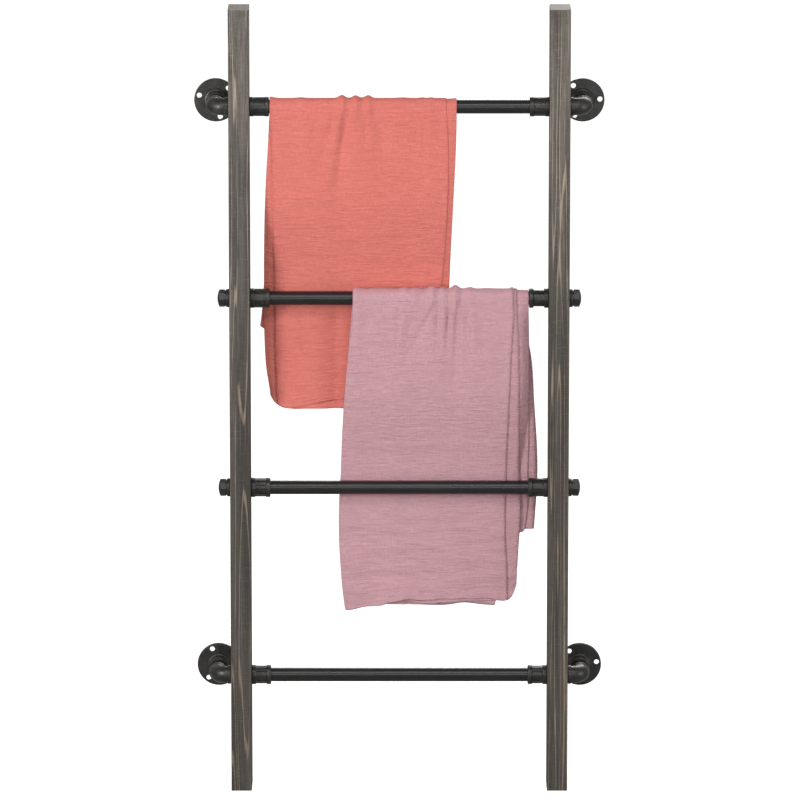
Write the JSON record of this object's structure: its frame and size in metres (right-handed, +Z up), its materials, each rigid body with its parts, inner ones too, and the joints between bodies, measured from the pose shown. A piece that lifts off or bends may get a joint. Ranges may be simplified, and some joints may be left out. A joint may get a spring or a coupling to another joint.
{
  "type": "ladder blanket rack with two throws",
  "caption": "Wall-mounted ladder rack of wooden stiles and iron-pipe rungs, with a folded gauze throw hung over each of two rungs.",
  "frame": {"origin": "midway between the stiles at the level of their feet, half-way from the stiles' front faces to the wall plane", "axes": "+X to the right seen from the room, +Y towards the wall, +Z up"},
  "size_m": [0.629, 0.104, 1.219],
  "materials": {
    "stained_wood": "grey-brown stain, matt, open grain",
    "black_pipe": "satin black coating",
    "black_cast_iron": "black coated casting, slightly rough",
    "rubbed_cast_iron": "black coated casting, rubbed bare towards its bends",
    "coral_gauze": "crinkled cotton gauze, matt",
    "mauve_gauze": "crinkled cotton gauze, matt"
  },
  "bodies": {
    "rack": {"stile_left": "stained_wood", "stile_right": "stained_wood", "rung_bottom": "black_pipe", "rung_lower": "black_pipe", "rung_upper": "black_pipe", "rung_top": "black_pipe", "coupling_bottom_left": "black_cast_iron", "coupling_bottom_right": "black_cast_iron", "coupling_lower_left": "black_cast_iron", "coupling_lower_right": "black_cast_iron", "coupling_upper_left": "black_cast_iron", "coupling_upper_right": "black_cast_iron", "coupling_top_left": "black_cast_iron", "coupling_top_right": "black_cast_iron", "stile_nipple_bottom_left": "black_pipe", "stile_nipple_bottom_right": "black_pipe", "stile_nipple_lower_left": "black_pipe", "stile_nipple_lower_right": "black_pipe", "stile_nipple_upper_left": "black_pipe", "stile_nipple_upper_right": "black_pipe", "stile_nipple_top_left": "black_pipe", "stile_nipple_top_right": "black_pipe", "elbow_bottom_left": "rubbed_cast_iron", "elbow_bottom_right": "rubbed_cast_iron", "elbow_top_left": "rubbed_cast_iron", "elbow_top_right": "rubbed_cast_iron", "wall_nipple_bottom_left": "black_pipe", "wall_nipple_bottom_right": "black_pipe", "wall_nipple_top_left": "black_pipe", "wall_nipple_top_right": "black_pipe", "wall_flange_bottom_left": "black_cast_iron", "wall_flange_bottom_right": "black_cast_iron", "wall_flange_top_left": "black_cast_iron", "wall_flange_top_right": "black_cast_iron", "end_cap_lower_left": "black_cast_iron", "end_cap_lower_right": "black_cast_iron", "end_cap_upper_left": "black_cast_iron", "end_cap_upper_right": "black_cast_iron"},
    "coral_throw": {"coral_throw": "coral_gauze"},
    "mauve_throw": {"mauve_throw": "mauve_gauze"}
  },
  "joints": [
    {"name": "coral_slide", "type": "slide", "parent": "rack", "child": "coral_throw", "axis": [1, 0, 0], "range_m": [0, 0.108]},
    {"name": "mauve_slide", "type": "slide", "parent": "rack", "child": "mauve_throw", "axis": [1, 0, 0], "range_m": [-0.103, 0]}
  ]
}
